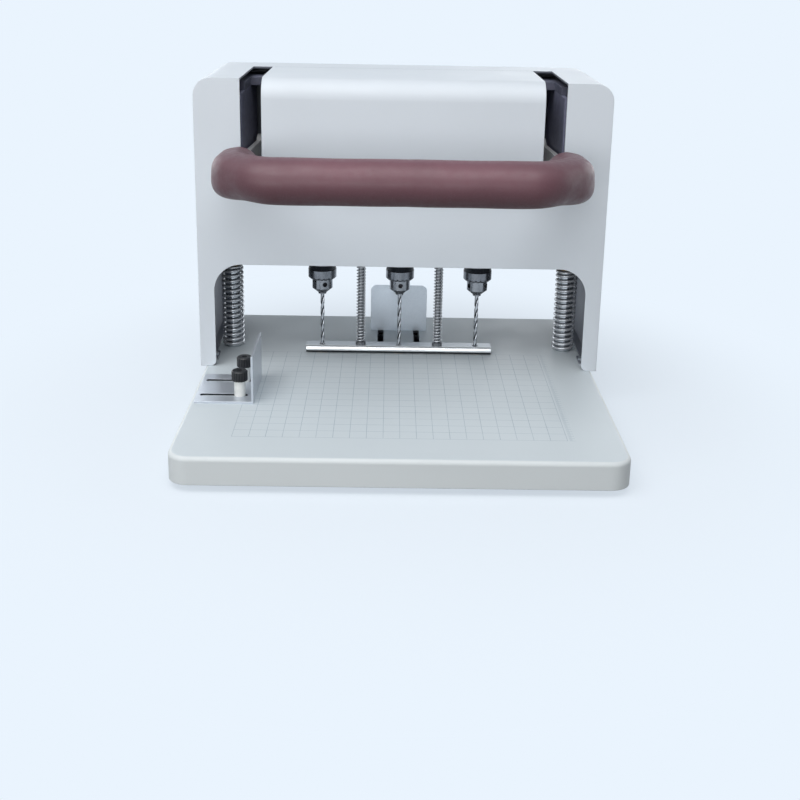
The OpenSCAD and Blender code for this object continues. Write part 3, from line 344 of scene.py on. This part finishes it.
def guide_finish(name, color):
    """Brushed guide plate, with painted shade on the walls inside its slots."""
    f = Finish(name, color, rough=0.3, metal=0.65)
    f.soften(0.5 * MM)
    x, y, z = f.axes()
    low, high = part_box("side_guide")
    inset, cut = 2 * MM, 1.8 * MM
    inner_x = f.within(x, low.x + inset, high.x - inset)
    inner_y = f.within(y, low.y + inset, high.y - inset)
    # Walls inside the slots darkened: painted shade
    slot_wall_shade = f.product(inner_x, inner_y, f.within(z, low.z, low.z + cut))
    under = f.tint(f.spread(f.noise(scale=30.0, detail=4.0), low=0.0, high=0.5), shade(color, 0.8))
    f.tint(slot_wall_shade, srgb(46, 48, 52), under)
    f.polish(f.spread(f.noise(scale=1500.0, stretch=streaks(Y, 0.1)), low=0.3, high=0.37))
    return f.material


def about_spindle(f):
    """Offsets of the surface point from the axis of its own drill, in metres."""
    x, y = f.axes()[:2]
    low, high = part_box("drill_bit_middle")
    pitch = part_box("drill_bit_right")[1].x - high.x
    in_pitch = f.math("FLOORED_MODULO", f.math("ADD", x, pitch / 2), pitch)
    return f.math("SUBTRACT", in_pitch, pitch / 2), f.math("SUBTRACT", y, (low.y + high.y) / 2)


def drill_finish(name, color, rough):
    """Ground tool steel: bright lands, and flutes darkened with painted shade."""
    # A dark specular tint dims the reflections along the drill's outline: painted shade
    f = Finish(name, color, rough, metal=1.0, extra={"Specular Tint": (0.2, 0.2, 0.2, 1)})
    low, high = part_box("drill_bit_middle")
    radius = (high.x - low.x) / 2
    out = f.distance(*about_spindle(f))
    # Flute grooves darkened: painted shade
    flutes = f.spread(out, low=1.0, high=0.0, start=0.55 * radius, stop=0.9 * radius)
    f.tint(flutes, srgb(44, 46, 50))
    f.polish(f.spread(f.noise(scale=500.0, detail=3.0), low=rough * 0.8, high=rough * 1.3))
    return f.material


def chuck_finish(name, color, rough, sleeve=False):
    """Turned chuck steel: fine turning rings, with painted shade in the key holes, or on a sleeve a dark
    knurled band.
    """
    f = Finish(name, color, rough, metal=1.0)
    f.soften(0.25 * MM)
    z = f.axes()[Z]
    cloud = f.noise(scale=120.0, detail=3.0)
    under = f.tint(f.spread(cloud, low=0.0, high=0.6), shade(color, 0.6))
    f.polish(f.spread(cloud, low=rough * 0.7, high=rough * 1.4))
    dx, dy = about_spindle(f)
    if sleeve:
        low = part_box("chuck_sleeve_middle")[0]
        band_from, band_to, teeth = 10 * MM, 15.6 * MM, 72.0
        knurl = f.math("SINE", f.math("MULTIPLY", f.math("ARCTAN2", dy, dx), teeth))
        band = f.within(z, low.z + band_from, low.z + band_to)
        f.tint(band, srgb(34, 36, 40), under)
        f.relief(f.product(knurl, band), depth=0.25 * MM, strength=0.8)
    else:
        low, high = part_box("chuck_body_middle")
        cone, skin_depth = 6.8 * MM, 0.5 * MM
        # Key holes darkened: painted shade inside the holes
        sunk = f.math("LESS_THAN", f.distance(dx, dy), (high.x - low.x) / 2 - skin_depth)
        above_cone = f.math("GREATER_THAN", z, low.z + cone)
        f.tint(f.product(sunk, above_cone), srgb(48, 48, 51), under)
    ring_pitch = 0.5 * MM
    rings = f.math("SINE", f.math("MULTIPLY", z, 2 * math.pi / ring_pitch))
    f.relief(rings, depth=0.01 * MM, strength=0.3)
    return f.material


def leatherette(name, color):
    """Grained leatherette: pebbles and fine pores, with painted shade underneath and towards both ends."""
    soft = {"Sheen Weight": 0.04, "Sheen Roughness": 0.4, "Coat Weight": 0.1, "Coat Roughness": 0.35}
    f = Finish(name, color, rough=0.42, extra=soft)
    under = f.tint(f.spread(f.noise(scale=28.0, detail=5.0), low=0.0, high=0.55), shade(color, 0.72))
    off_middle = f.math("ABSOLUTE", f.axes()[X])
    # Darker towards both ends of the grip: painted shade
    ends = f.spread(off_middle, low=0.0, high=0.85, start=85 * MM, stop=140 * MM)
    under = f.tint(ends, shade(color, 0.62), under)
    # Darker underneath, turning with the grip: painted shade
    underside_shade = f.spread(f.axes(f.outward)[Z], low=0.95, high=0.0, start=-0.7, stop=0.65)
    underside_shade_color = (color[0] * 0.4, color[1] * 0.24, color[2] * 0.26)
    under = f.tint(underside_shade, underside_shade_color, under)
    pebble = f.cells(scale=620.0)
    f.tint(f.spread(pebble, low=0.35, high=0.0, start=0.0, stop=0.45), shade(color, 0.75), under)
    f.polish(f.spread(f.noise(scale=160.0, detail=3.0), low=0.42, high=0.58))
    f.relief(pebble, depth=0.12 * MM, strength=0.35)
    f.relief(f.noise(scale=2600.0), depth=0.03 * MM, strength=0.4)
    return f.material


SLOT_FINISH = {
    "paint": powder_coat("powder_coat", srgb(214, 221, 228)),
    "frame_black": moulded("black_paint", srgb(116, 118, 140), rough=0.55),
    "bright_steel": plated("chrome", srgb(205, 208, 212), rough=0.13, streak=streaks(Z)),
    "zinc_steel": plated("zinc_steel", srgb(178, 184, 190), rough=0.3, streak=streaks(X), edge=0.4 * MM),
    "alloy": plated("alloy", srgb(168, 172, 176), rough=0.36, streak=streaks(X, 0.02), edge=0.5 * MM),
    "bronze": plated("bronze", srgb(112, 92, 66), rough=0.36, streak=streaks(Z, 0.05)),
    "tool_steel": drill_finish("tool_steel", srgb(188, 191, 196), rough=0.22),
    "black_plastic": moulded("black_plastic", srgb(9, 10, 14), rough=0.36),
    "white_plastic": moulded("white_plastic", srgb(206, 207, 204), rough=0.4, grain=900.0, depth=0.02 * MM),
    "rubber": moulded("rubber", srgb(30, 30, 31), rough=0.75, grain=700.0, depth=0.08 * MM),
    "grip_leather": leatherette("leatherette", srgb(108, 68, 78)),
}
# Rod and spring steel take a low rim: painted shade in the reflections along their outlines
ROD_STEEL = plated("rod_steel", srgb(132, 134, 138), 0.25, streaks(Z), edge=0.2 * MM, metal=0.8, rim=0.4)
SPRING_STEEL = plated("spring_steel", srgb(208, 211, 215), rough=0.2, edge=0.1 * MM, metal=0.6, rim=0.2)
CHUCK_STEEL = chuck_finish("chuck_steel", srgb(150, 153, 158), rough=0.24)
SLEEVE_STEEL = chuck_finish("sleeve_steel", srgb(128, 131, 137), rough=0.26, sleeve=True)
# Nodes whose finish isn't their slot's
NODE_FINISH = {
    "base_shell": powder_coat("deck_coat", srgb(211, 217, 219), printed=True),
    "top_plate": moulded("black_oxide", srgb(84, 86, 102), rough=0.55),
    "press_bar": bar_finish("bar_chrome", srgb(236, 240, 242)),
    "side_guide": guide_finish("guide_steel", srgb(200, 206, 214)),
    "rear_stop": plated("stop_steel", srgb(214, 222, 230), rough=0.4, edge=0.5 * MM),
    "lever_arms": plated("arm_steel", srgb(238, 239, 240), 0.35, streaks(Y), edge=0.5 * MM, metal=0.15),
    "press_rods": ROD_STEEL,
    **{"chuck_body_" + side: CHUCK_STEEL for side in DRILLS},
    **{"chuck_sleeve_" + side: SLEEVE_STEEL for side in DRILLS},
}

for part in frame["record"]["subparts"]:
    materials = frame["nodes"][part["node"]].data.materials
    materials.clear()
    materials.append(NODE_FINISH.get(part["node"], SLOT_FINISH[part["material_slot"]]))


# Pieces made here

def mesh_piece(name, points, faces, material):
    mesh = bpy.data.meshes.new(name)
    mesh.from_pydata([tuple(p) for p in points], [], faces)
    mesh.materials.append(material)
    mesh.polygons.foreach_set("use_smooth", [True] * len(mesh.polygons))
    mesh.update()
    piece = bpy.data.objects.new(name, mesh)
    bpy.context.scene.collection.objects.link(piece)
    return piece


def around(sides):
    """Angles of a ring's points."""
    return [2 * math.pi * k / sides for k in range(sides)]


def skin(rings, sides):
    """Faces that join rings of points into a tube with closed ends."""
    faces = []
    for i in range(rings - 1):
        this, following = i * sides, (i + 1) * sides
        for k in range(sides):
            n = (k + 1) % sides
            faces.append((this + k, this + n, following + n, following + k))
    faces.append(tuple(range(sides))[::-1])
    faces.append(tuple((rings - 1) * sides + k for k in range(sides)))
    return faces


# Springs

def spring(name, node, wire, curls):
    """Round-wire spring that fills a CAD spring's place."""
    low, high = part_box(node)
    centre = (low + high) / 2
    mean = (high.x - low.x - wire) / 2
    end_gap = 0.7 * MM
    closed_rise = wire + end_gap
    open_rise = (high.z - low.z - wire - 2 * closed_rise) / (curls - 2)
    steps, sides = 28, 12
    blunt, blunt_step = 0.6, 0.2
    up = Vector((0, 0, 1))
    points = []
    total = steps * curls
    for i in range(total + 1):
        t = i / steps
        open_turns = min(max(t - 1, 0), curls - 2)
        rise = (t - open_turns) * closed_rise + open_turns * open_rise
        turn = 2 * math.pi * t
        out = Vector((math.cos(turn), math.sin(turn), 0))
        here = Vector((centre.x, centre.y, low.z + wire / 2 + rise)) + mean * out
        thickness = wire / 2 * min(1.0, blunt + blunt_step * min(i, total - i))
        points += [here + thickness * (math.cos(a) * out - math.sin(a) * up) for a in around(sides)]
    piece = mesh_piece(name, points, skin(total + 1, sides), SPRING_STEEL)
    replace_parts(piece, node)
    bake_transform(piece)


COLUMN_WIRE, COLUMN_CURLS = 2.7 * MM, 17
PRESS_WIRE, PRESS_CURLS = 1.2 * MM, 26
for side in ("left", "right"):
    spring("column_coil_" + side, "column_spring_" + side, COLUMN_WIRE, COLUMN_CURLS)
    spring("press_coil_" + side, "press_spring_" + side, PRESS_WIRE, PRESS_CURLS)


# Drills

def drill_outline(a):
    """Share of the full radius at an angle of the fluted part: two ground flutes and narrow lands."""
    flute_depth, flute_form = 0.52, 0.8
    land_at, land_edge, relieved = 0.62, -0.72, 0.95
    flute = max(0.0, math.cos(2 * a)) ** flute_form
    on_land = math.cos(2 * (a - land_at)) < land_edge
    return (1 - flute_depth * flute) * (1.0 if on_land else relieved)


def twist_drill(side):
    """Drill with two flutes that run out below the chuck, and a pointed tip."""
    low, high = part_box("drill_bit_" + side)
    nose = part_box("chuck_body_" + side)[0].z
    centre = (low + high) / 2
    radius = (high.x - low.x) / 2
    lead, tip, chisel, chisel_height = 25 * MM, 1.3 * MM, 0.04, 0.12 * MM
    below_chuck, fade_length, in_chuck = 4 * MM, 2.5 * MM, 1 * MM
    run_out = nose - below_chuck
    sides, fluted_rows = 40, 120
    levels = [low.z, low.z + chisel_height, *np.linspace(low.z + tip, run_out, fluted_rows)]
    levels += [run_out + fade_length, nose + in_chuck, high.z]
    points = []
    for z in levels:
        grown = min(1.0, max(chisel, (z - low.z) / tip))
        fade = min(1.0, max(0.0, (z - run_out) / fade_length))
        for a in around(sides):
            r = radius * grown * (drill_outline(a) * (1 - fade) + fade)
            turn = a + 2 * math.pi * (z - low.z) / lead
            points.append((centre.x + r * math.cos(turn), centre.y + r * math.sin(turn), z))
    piece = mesh_piece("twist_drill_" + side, points, skin(len(levels), sides), SLOT_FINISH["tool_steel"])
    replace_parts(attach(piece, "drill_" + side), "drill_bit_" + side)


for side in DRILLS:
    twist_drill(side)


# The padded grip

PIVOT = Vector((0, FACE + 120 * MM, DECK + 200 * MM))
TILT = math.radians(3)
FORWARD = Vector((0, -math.cos(TILT), math.sin(TILT)))
UPWARD = Vector((0, math.sin(TILT), math.cos(TILT)))
PADDING_RADIUS, PADDING_BORE, PADDING_LIP = 20.7 * MM, 11 * MM, 7 * MM
# Middles of the two bends and of the hollow under them, in mm from the grip's end
BENDS, HOLLOW_AT = (48.8, 90.4), 76
# Height of each form of the padding, and its width along the grip, in mm
CREASE, CREASE_WIDTH = 0.55, 10
ELBOW, ELBOW_WIDTH = 1.2, 26
CORNER, CORNER_WIDTH = 1.1, 16
HOLLOW, HOLLOW_WIDTH = 0.9, 15
LONG_WAVE, SHORT_WAVE = 0.25, 0.12
# Turns of the creases and waves, in radians for each mm
CREASE_TURN, LONG_TURN, SHORT_TURN = 1.15, 0.021, 0.09
# How far the creases and the long wave lean round the grip, in radians
CREASE_LEAN, LONG_LEAN = 0.6, 1.3


def grip_path():
    """Centre line of half the grip: (across, forward of the pivot), from the arm's end to the middle."""
    across, end, run, bend, straight = 152.5 * MM, 151.31 * MM, 37 * MM, 30 * MM, 18 * MM
    run_rows, bend_rows, straight_rows, middle_rows = 22, 40, 26, 60
    turn = math.pi / 4

    def arc(hub_x, hub_y, start):
        angles = np.linspace(start, start + turn, bend_rows)[1:]
        return [(hub_x + bend * math.cos(a), hub_y + bend * math.sin(a)) for a in angles]

    line = [(across, end + run * t) for t in np.linspace(0, 1, run_rows)]
    line += arc(across - bend, end + run, 0)
    x, y = line[-1]
    step = straight * math.sin(turn)
    line += [(x - step * t, y + step * t) for t in np.linspace(0, 1, straight_rows)[1:]]
    line += arc(x - step - bend * math.cos(turn), y + step - bend * math.sin(turn), turn)
    x, y = line[-1]
    line += [(x * (1 - t), y) for t in np.linspace(0, 1, middle_rows)[1:]]
    return line


def hump(at, middle, width):
    """A smooth hump, 1 in its middle."""
    return math.exp(-((at - middle) / width) ** 2)


def stuffing(s, a):
    """Height over a plain tube in mm, s mm from the grip's end. Angle 0 is outside the bends, pi inside."""
    outside = max(0.0, math.cos(a))
    inside = max(0.0, -math.cos(a))
    below = max(0.0, -math.sin(a))
    below_outside = max(0.0, math.cos(a + math.pi / 4))
    first = BENDS[0]
    height = LONG_WAVE * math.sin(LONG_TURN * s + LONG_LEAN * math.sin(a))
    height += SHORT_WAVE * math.sin(SHORT_TURN * s + 2 * a)
    for bend in BENDS:
        fold = math.sin(CREASE_TURN * (s - bend) + CREASE_LEAN * math.sin(2 * a))
        height += CREASE * hump(s, bend, CREASE_WIDTH) * inside ** 2 * fold
    height -= ELBOW * hump(max(s, first), first, ELBOW_WIDTH) * math.cos(4 * a) * math.sqrt(outside)
    height += CORNER * hump(s, first, CORNER_WIDTH) * below_outside ** 2
    height -= HOLLOW * hump(s, HOLLOW_AT, HOLLOW_WIDTH) * below
    return height


def padded_grip():
    """Leatherette over foam: a swollen tube with tucked ends and creases inside its bends."""
    half = grip_path()
    line = np.array(half + [(-x, y) for x, y in half[-2::-1]])
    steps = np.r_[0, np.cumsum(np.linalg.norm(np.diff(line, axis=0), axis=1))]
    ahead = np.gradient(line, axis=0)
    ahead /= np.linalg.norm(ahead, axis=1)[:, None]
    total = float(steps[-1])
    sides = 64
    tuck_share, tuck_depth = 0.6, 1.5 * MM
    rings = []
    for (x, y), (tx, ty), s in zip(line.tolist(), ahead.tolist(), steps.tolist()):
        from_end = min(s, total - s)
        tuck = max(0.0, 1 - from_end / PADDING_LIP)
        body = PADDING_RADIUS - PADDING_LIP * tuck_share * (1 - math.sqrt(max(0.0, 1 - tuck * tuck)))
        ring = []
        for a in around(sides):
            r = body + stuffing(from_end / MM, a) * MM * min(1.0, from_end / PADDING_LIP)
            across, forward = x + ty * r * math.cos(a), y - tx * r * math.cos(a)
            ring.append(PIVOT + Vector((across, 0, 0)) + forward * FORWARD + r * math.sin(a) * UPWARD)
        rings.append(ring)

    def rolled_in(ring, x, y):
        """Ring round the steel tube that an end's leatherette rolls in to."""
        middle = PIVOT + Vector((x, 0, 0)) + y * FORWARD
        rims = [point - middle for point in ring]
        return [middle + rim * (PADDING_BORE / rim.length) + tuck_depth * FORWARD for rim in rims]

    ends = [rolled_in(rings[i], *line[i].tolist()) for i in (0, -1)]
    rings = [ends[0], *rings, ends[1]]
    points = [point for ring in rings for point in ring]
    piece = mesh_piece("grip_padding", points, skin(len(rings), sides), SLOT_FINISH["grip_leather"])
    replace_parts(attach(piece, "handle"), "grip_sleeve")


padded_grip()


# Stage, lights and camera

SURROUND = srgb(234, 244, 254)
SURROUND_LIGHT = 0.1
FLOOR_HALF = 4.0
FLOOR_LIT, FLOOR_SEEN = srgb(120, 121, 122), srgb(228, 235, 242)
# Each lamp's place, its width and height in metres, and its power in watts
LAMPS = {
    "front": ((-0.8, -2.0, 0.45), (2.4, 0.8), 17.5),
    "high": ((-0.8, -1.4, 1.7), (2.4, 1.6), 12),
    "top": ((-0.4, -0.8, 2.0), (2.6, 1.6), 36),
    "right": ((1.9, 0.5, 0.7), (1.4, 1.2), 6),
    "rim_left": ((-1.4, 1.7, 0.5), (2.0, 0.9), 10),
    "rim_right": ((1.1, 1.9, 0.5), (2.0, 0.9), 10),
}
LAMPS_AIM = Vector((0, 0, 0.15))
# The fitted camera, in pixels of a square picture, degrees and metres
PICTURE, FOCAL_LENGTH, MIDDLE_ROW = 800, 1138.46, 275
SENSOR = 36
YAW, PITCH, ROLL = (math.radians(v) for v in (0.62, 15.79, -1.04))
CAMERA_AT = (-12.23 * MM, FACE - 1081.19 * MM, DECK + 403.76 * MM)


def world_light():
    """Pale surround: seen as the background, and weaker as light."""
    world = bpy.data.worlds.new("surround")
    bpy.context.scene.world = world
    world.use_nodes = True
    nodes = Nodes(world.node_tree)
    background = world.node_tree.nodes["Background"]
    nodes.feed(background.inputs["Color"], (*SURROUND, 1))
    strength = nodes.spread(nodes.seen_directly(), low=SURROUND_LIGHT, high=1.0, start=0.0, stop=1.0)
    nodes.feed(background.inputs["Strength"], strength)


def floor_paper():
    """Paper that keeps a soft shadow near the part and meets the surround further out."""
    paper = bpy.data.materials.new("floor_paper")
    paper.use_nodes = True
    nodes = Nodes(paper.node_tree)
    paper.node_tree.nodes.clear()
    seen = nodes.seen_directly()
    lit = nodes.add("ShaderNodeBsdfDiffuse")
    nodes.feed(lit.inputs["Color"], nodes.mix(seen, FLOOR_LIT, FLOOR_SEEN))
    glow = nodes.add("ShaderNodeEmission")
    nodes.feed(glow.inputs["Color"], (*SURROUND, 1))
    length = nodes.add("ShaderNodeVectorMath", operation="LENGTH")
    nodes.feed(length.inputs[0], nodes.add("ShaderNodeTexCoord").outputs["Object"])
    far = nodes.spread(length.outputs["Value"], low=0.62, high=1.0, start=0.2, stop=0.5, curve="SMOOTHSTEP")
    both = nodes.add("ShaderNodeMixShader")
    for socket, value in enumerate((nodes.product(far, seen), lit.outputs[0], glow.outputs[0])):
        nodes.feed(both.inputs[socket], value)
    nodes.feed(nodes.add("ShaderNodeOutputMaterial").inputs["Surface"], both.outputs[0])
    return paper


def floor():
    """Flat square of paper under the part."""
    mesh = bpy.data.meshes.new("floor")
    corners = [(x * FLOOR_HALF, y * FLOOR_HALF, 0) for x, y in ((-1, -1), (1, -1), (1, 1), (-1, 1))]
    mesh.from_pydata(corners, [], [(0, 1, 2, 3)])
    mesh.materials.append(floor_paper())
    plane = bpy.data.objects.new("floor", mesh)
    bpy.context.scene.collection.objects.link(plane)


def lamp(name, place, size, power):
    """Soft rectangular lamp that looks at the part."""
    data = bpy.data.lights.new(name, "AREA")
    data.shape = "RECTANGLE"
    data.size, data.size_y = size
    data.energy = power
    light = bpy.data.objects.new(name, data)
    light.location = place
    light.rotation_euler = (LAMPS_AIM - Vector(place)).to_track_quat("-Z", "Y").to_euler()
    bpy.context.scene.collection.objects.link(light)


def photo_camera():
    """Camera fitted to the photograph, with its level and lens."""
    flat = Vector((math.sin(YAW), math.cos(YAW), 0))
    ahead = math.cos(PITCH) * flat - Vector((0, 0, math.sin(PITCH)))
    right = Vector((math.cos(YAW), -math.sin(YAW), 0))
    down = ahead.cross(right)
    across = math.cos(ROLL) * right + math.sin(ROLL) * down
    below = -math.sin(ROLL) * right + math.cos(ROLL) * down
    data = bpy.data.cameras.new("camera")
    data.sensor_width = SENSOR
    data.lens = FOCAL_LENGTH / PICTURE * SENSOR
    data.shift_y = (MIDDLE_ROW - PICTURE / 2) / PICTURE
    camera = bpy.data.objects.new("camera", data)
    turn = Matrix((across, -below, -ahead)).transposed().to_4x4()
    camera.matrix_world = Matrix.Translation(CAMERA_AT) @ turn
    bpy.context.scene.collection.objects.link(camera)
    bpy.context.scene.camera = camera


world_light()
floor()
for name, settings in LAMPS.items():
    lamp(name, *settings)
photo_camera()
bpy.context.scene.view_settings.view_transform = "Standard"
